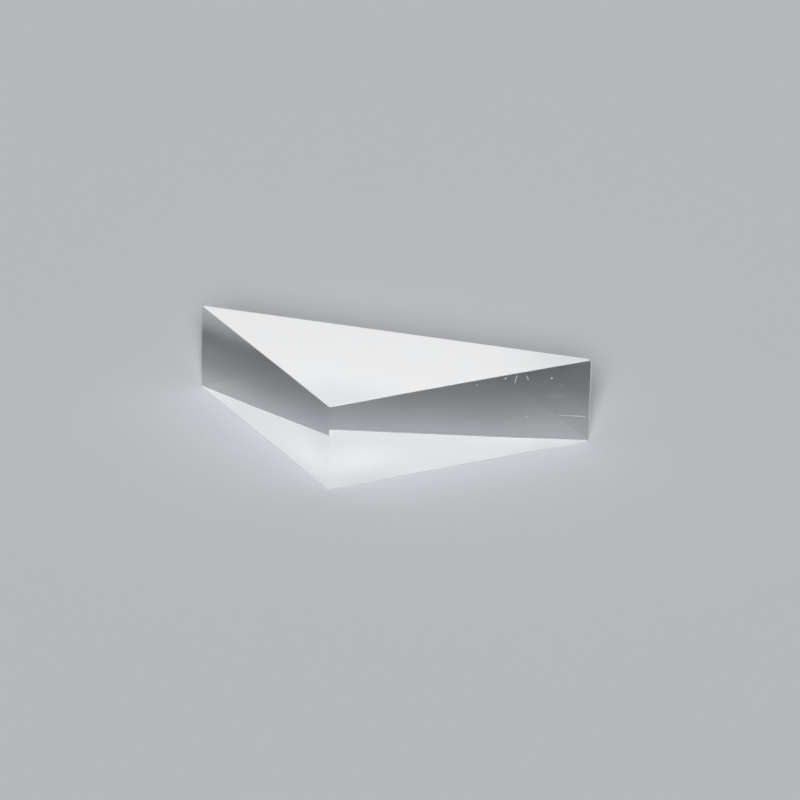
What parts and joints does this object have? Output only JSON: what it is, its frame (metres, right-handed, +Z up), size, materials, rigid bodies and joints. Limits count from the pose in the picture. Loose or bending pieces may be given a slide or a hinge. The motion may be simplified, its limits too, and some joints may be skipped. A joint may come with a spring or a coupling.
{
  "type": "right angle prism",
  "caption": "Right angle prism: a clear glass block with polished upright faces, fine-ground triangular faces and flat-tipped acute corners, for turning or splitting a beam of light.",
  "frame": {"origin": "centre of the underside: the middle of the bounding box, on the ground triangular face that the prism lies on", "axes": "+Z up through the thickness, +X along the hypotenuse, +Y out of the hypotenuse face, so the right-angle edge is towards -Y"},
  "size_m": [0.0702, 0.0354, 0.015],
  "materials": {
    "optical_glass": "polished on the upright faces; fine ground on the triangular faces, the tips of the acute corners and the rims"
  },
  "bodies": {
    "root": {"prism": "optical_glass"}
  },
  "joints": []
}
